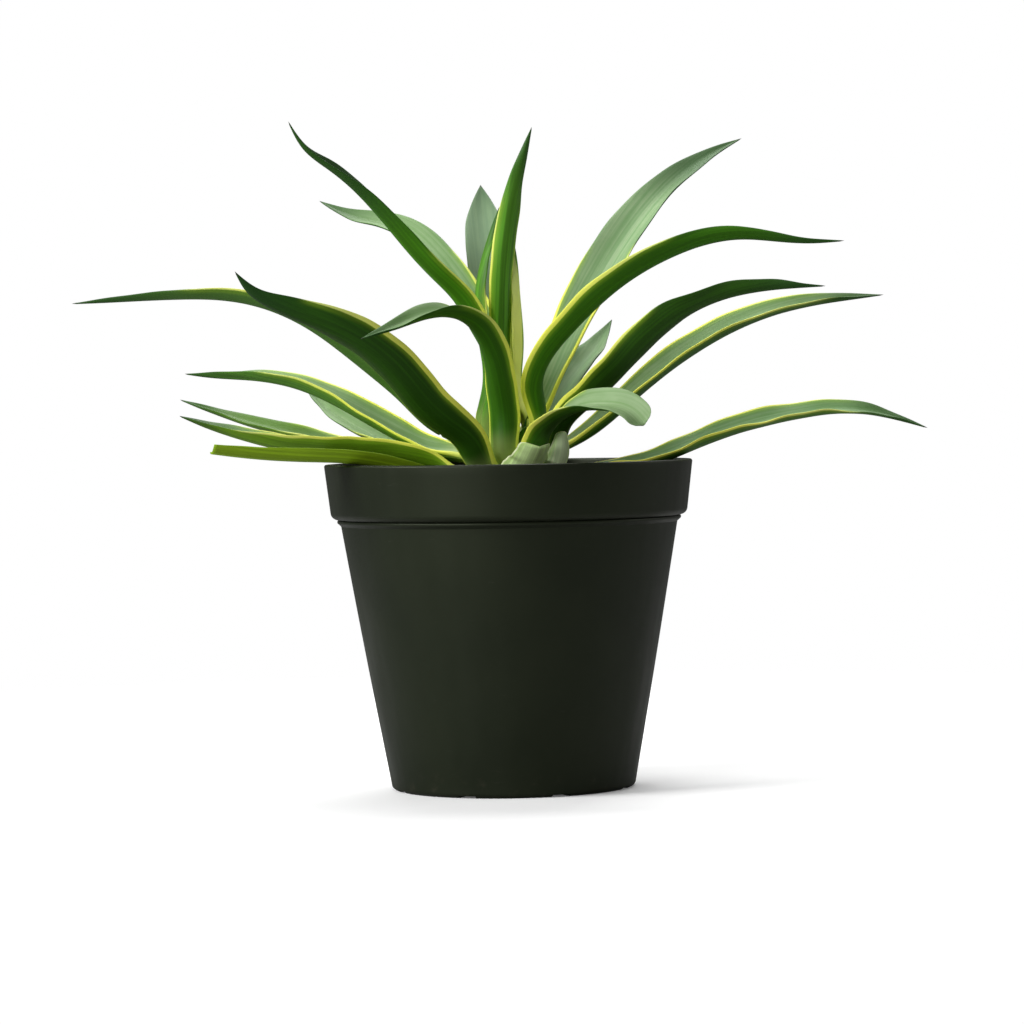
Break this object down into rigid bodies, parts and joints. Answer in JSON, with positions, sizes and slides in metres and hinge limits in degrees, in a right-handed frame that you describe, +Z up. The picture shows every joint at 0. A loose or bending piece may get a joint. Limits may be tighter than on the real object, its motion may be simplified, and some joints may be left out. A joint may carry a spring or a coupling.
{
  "type": "potted agave",
  "caption": "Variegated agave with long channelled leaves arching out of a plain dark stepped nursery pot filled with potting soil.",
  "frame": {"origin": "centre of the pot's flat underside", "axes": "+Z up out of the pot, +X along the widest spread of the leaves, front of the plant towards -Y"},
  "size_m": [0.463, 0.288, 0.358],
  "materials": {
    "pot_plastic": "satin",
    "soil": "matte",
    "stem": "matte",
    "leaf_green": "satin",
    "cut_leaf": "satin",
    "young_leaf": "satin"
  },
  "bodies": {
    "root": {"pot": "pot_plastic", "potting_soil": "soil", "crown_stem": "stem", "spear_leaf": "leaf_green", "left_wrap_leaf": "leaf_green", "right_wrap_leaf": "leaf_green", "back_upright_leaf": "leaf_green", "upper_left_leaf": "leaf_green", "upper_back_left_leaf": "leaf_green", "upper_right_leaf": "leaf_green", "right_arching_leaf": "leaf_green", "front_arching_leaf": "leaf_green", "left_long_leaf": "leaf_green", "left_dark_leaf": "leaf_green", "left_pale_leaf": "leaf_green", "left_back_leaf": "leaf_green", "back_right_leaf": "leaf_green", "right_dark_leaf": "leaf_green", "right_pale_leaf": "leaf_green", "right_low_leaf": "leaf_green", "front_bent_leaf": "leaf_green", "left_low_leaf": "leaf_green", "left_low_back_leaf": "leaf_green", "left_cut_leaf": "cut_leaf", "back_low_leaf": "leaf_green", "back_low_left_leaf": "leaf_green", "front_young_leaf": "young_leaf", "front_young_pointed_leaf": "young_leaf"}
  },
  "joints": []
}
